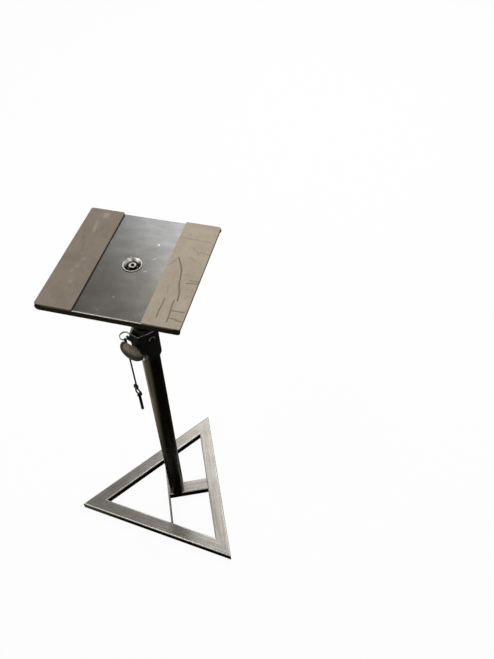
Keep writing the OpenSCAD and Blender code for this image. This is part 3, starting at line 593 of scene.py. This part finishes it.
def foam_strip(name, middle, finish):
    """A strip with rounded corners and a rounded top edge, creased as its table says."""
    bpy.ops.mesh.primitive_grid_add(x_subdivisions=60, y_subdivisions=225, size=1)
    strip = bpy.context.object
    strip.name = name
    strip.scale = (pad_w, pad_len, 1)
    strip.location = (middle, 0, pad_low + pad_t)
    bpy.ops.object.transform_apply()
    for point in strip.data.vertices:
        beyond = Vector((abs(point.co.x - middle) - pad_w / 2 + pad_corner,
            abs(point.co.y) - pad_len / 2 + pad_corner))
        if beyond.x > 0 and beyond.y > 0:
            long = max(beyond.x, beyond.y)
            pull = beyond * (long / beyond.length) - beyond
            point.co.x += pull.x if point.co.x > middle else -pull.x
            point.co.y += pull.y if point.co.y > 0 else -pull.y
    bpy.ops.object.mode_set(mode="EDIT")
    bpy.ops.mesh.select_all(action="SELECT")
    bpy.ops.mesh.extrude_region_move(TRANSFORM_OT_translate={"value": (0, 0, -pad_t)})
    bpy.ops.mesh.select_all(action="SELECT")
    bpy.ops.mesh.normals_make_consistent(inside=False)
    form = bmesh.from_edit_mesh(strip.data)
    top = pad_low + pad_t
    for edge in form.edges:
        level_faces = [abs(face.normal.z) > 0.5 for face in edge.link_faces]
        at_top = all(abs(end.co.z - top) < 1e-6 for end in edge.verts)
        edge.select = at_top and not all(level_faces)
    bmesh.update_edit_mesh(strip.data)
    bpy.ops.mesh.bevel(offset=pad_round, segments=3)
    form = bmesh.from_edit_mesh(strip.data)
    for face in form.faces:
        face.select = face.normal.z < -0.9
    bmesh.update_edit_mesh(strip.data)
    bpy.ops.mesh.dissolve_limited(angle_limit=radians(2))
    bpy.ops.object.mode_set(mode="OBJECT")
    points = np.array([point.co for point in strip.data.vertices])
    depth, rub = np.zeros(len(points)), np.zeros(len(points))
    for strength, line in creases[name]:
        for a, b in zip(line[:-1], line[1:]):
            off = nearest(points, a, b)
            depth = np.maximum(depth, strength * np.exp(-(off / crease_w) ** 2))
    for strength, spread, a, b in scuffs[name]:
        off = nearest(points, a, b)
        rub = np.maximum(rub, strength * np.exp(-(off / (spread / 1000)) ** 2))
    for label, values in (("crease_shade", depth), ("scuff", rub)):
        values[points[:, 2] < top - 0.001] = 0
        attribute = strip.data.attributes.new(label, "FLOAT", "POINT")
        attribute.data.foreach_set("value", values.astype(np.float32))
    points[:, 2] -= crease_deep * depth
    strip.data.vertices.foreach_set("co", points.ravel())
    strip.rotation_euler.z = plate_turn
    bpy.ops.object.transform_apply()
    bpy.ops.object.shade_smooth_by_angle(angle=radians(40))
    wear(strip, finish)
    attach(strip, "mast")
    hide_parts(name)
    bpy.ops.object.select_all(action="DESELECT")
    strip.name = name + "_strip"


# The right strip's foam is given a lighter tone than the left: partly fading, partly painted
# light.
foam_strip("foam_pad_left", pad_middle, foam_finish("foam_left", (0.178, 0.148, 0.118),
    (0.05, 0.045, 0.04), 0.17))
foam_strip("foam_pad_right", -pad_middle, foam_finish("foam_right", (0.322, 0.275, 0.213),
    (0.06, 0.05, 0.04), 0.14))

# The split ring is two turns of spring steel wire, tarnished to a dark grey. The pin is a
# steel rod with a flattened eye, in a black paint with little gloss.
wear(nodes["split_ring"], plated("tarnished_wire", (0.26, 0.25, 0.24), 0.3, 700.0))
wear(nodes["locking_pin"], rubbed_and_sheen_paint("pin_paint", (0.1, 0.095, 0.088), 0.4, cover=0.5))

# A plain pale floor, which keeps the stand's soft shadow, in a white room. What shines
# mirrors the room as white, and the floor as a warm glow that fades out from left to
# right, which gives the column its pale edge on the left and its black one on the right.
bpy.ops.mesh.primitive_plane_add(size=12)
floor = bpy.context.object
floor.name = "floor"
floor_tone, floor_white = (0.75, 0.75, 0.75), 0.95
glow_from, glow_full, least_glow = 0.14, 0.27, 0.02
white, tree, shader, place = new_finish("floor_white")
shader.inputs["Base Color"].default_value = (*floor_tone, 1)
shader.inputs["Roughness"].default_value = 0.9
rays = tree.nodes.new("ShaderNodeLightPath").outputs
leftward = wire(tree, "SeparateXYZ", Vector=place).outputs["Y"]
fade = remap(tree, leftward, glow_from, glow_full, least_glow)
strength = work_out(tree, "MAXIMUM", rays["Is Camera Ray"], fade)
tint = layer(tree, rays["Is Camera Ray"], (1, 0.86, 0.56), (1, 1, 1))
glow = wire(tree, "Emission", Color=tint, Strength=strength)
mirrored = work_out(tree, "MAXIMUM", rays["Is Glossy Ray"], rays["Is Transmission Ray"])
seen = work_out(tree, "MULTIPLY_ADD", rays["Is Camera Ray"], floor_white, mirrored)
ground = wire(tree, "MixShader", _0=seen, _1=shader.outputs[0], _2=glow.outputs[0])
tree.links.new(ground.outputs[0], tree.nodes["Material Output"].inputs["Surface"])
wear(floor, white)

world = bpy.data.worlds.new("studio")
bpy.context.scene.world = world
world.use_nodes = True
tree = world.node_tree
room_light = 0.3
rays = tree.nodes.new("ShaderNodeLightPath").outputs
seen = work_out(tree, "MAXIMUM", rays["Is Camera Ray"], rays["Is Glossy Ray"])
seen = work_out(tree, "MAXIMUM", seen, rays["Is Transmission Ray"])
background = tree.nodes["Background"]
tree.links.new(remap(tree, seen, 0, 1, room_light), background.inputs["Strength"])
background.inputs["Color"].default_value = (1, 1, 1, 1)


# A wide window lamp behind the stand on the right, whose mirror image brightens the tops
# towards that side, a small lamp that draws thin lights on the near edges, and a warm one
# on the left.
def soft_lamp(name, place, turn, size, power, tint=(1, 1, 1)):
    """A square-cornered area lamp. It shines down unless it is turned."""
    bpy.ops.object.light_add(type="AREA", location=place, rotation=turn)
    lamp = bpy.context.object
    lamp.name = name
    lamp.data.shape = "RECTANGLE"
    lamp.data.size, lamp.data.size_y = size
    lamp.data.energy = power
    lamp.data.color = tint


soft_lamp("window", (1.65, -0.90, 2.9), (0, 0, radians(4)), (2.9, 1.9), 84)
soft_lamp("edge_lamp", (-0.45, 1.15, 2.9), (0, 0, 0), (0.9, 0.6), 13.5, (1, 0.96, 0.88))
left_place = Vector((-0.6, 2.4, 1.8))
to_stand = Vector((0, 0, 0.5)) - left_place
soft_lamp("left", left_place, to_stand.to_track_quat("-Z", "Y").to_euler(), (1.6, 1.6), 14,
    (1, 0.93, 0.82))

bpy.ops.object.select_all(action="DESELECT")
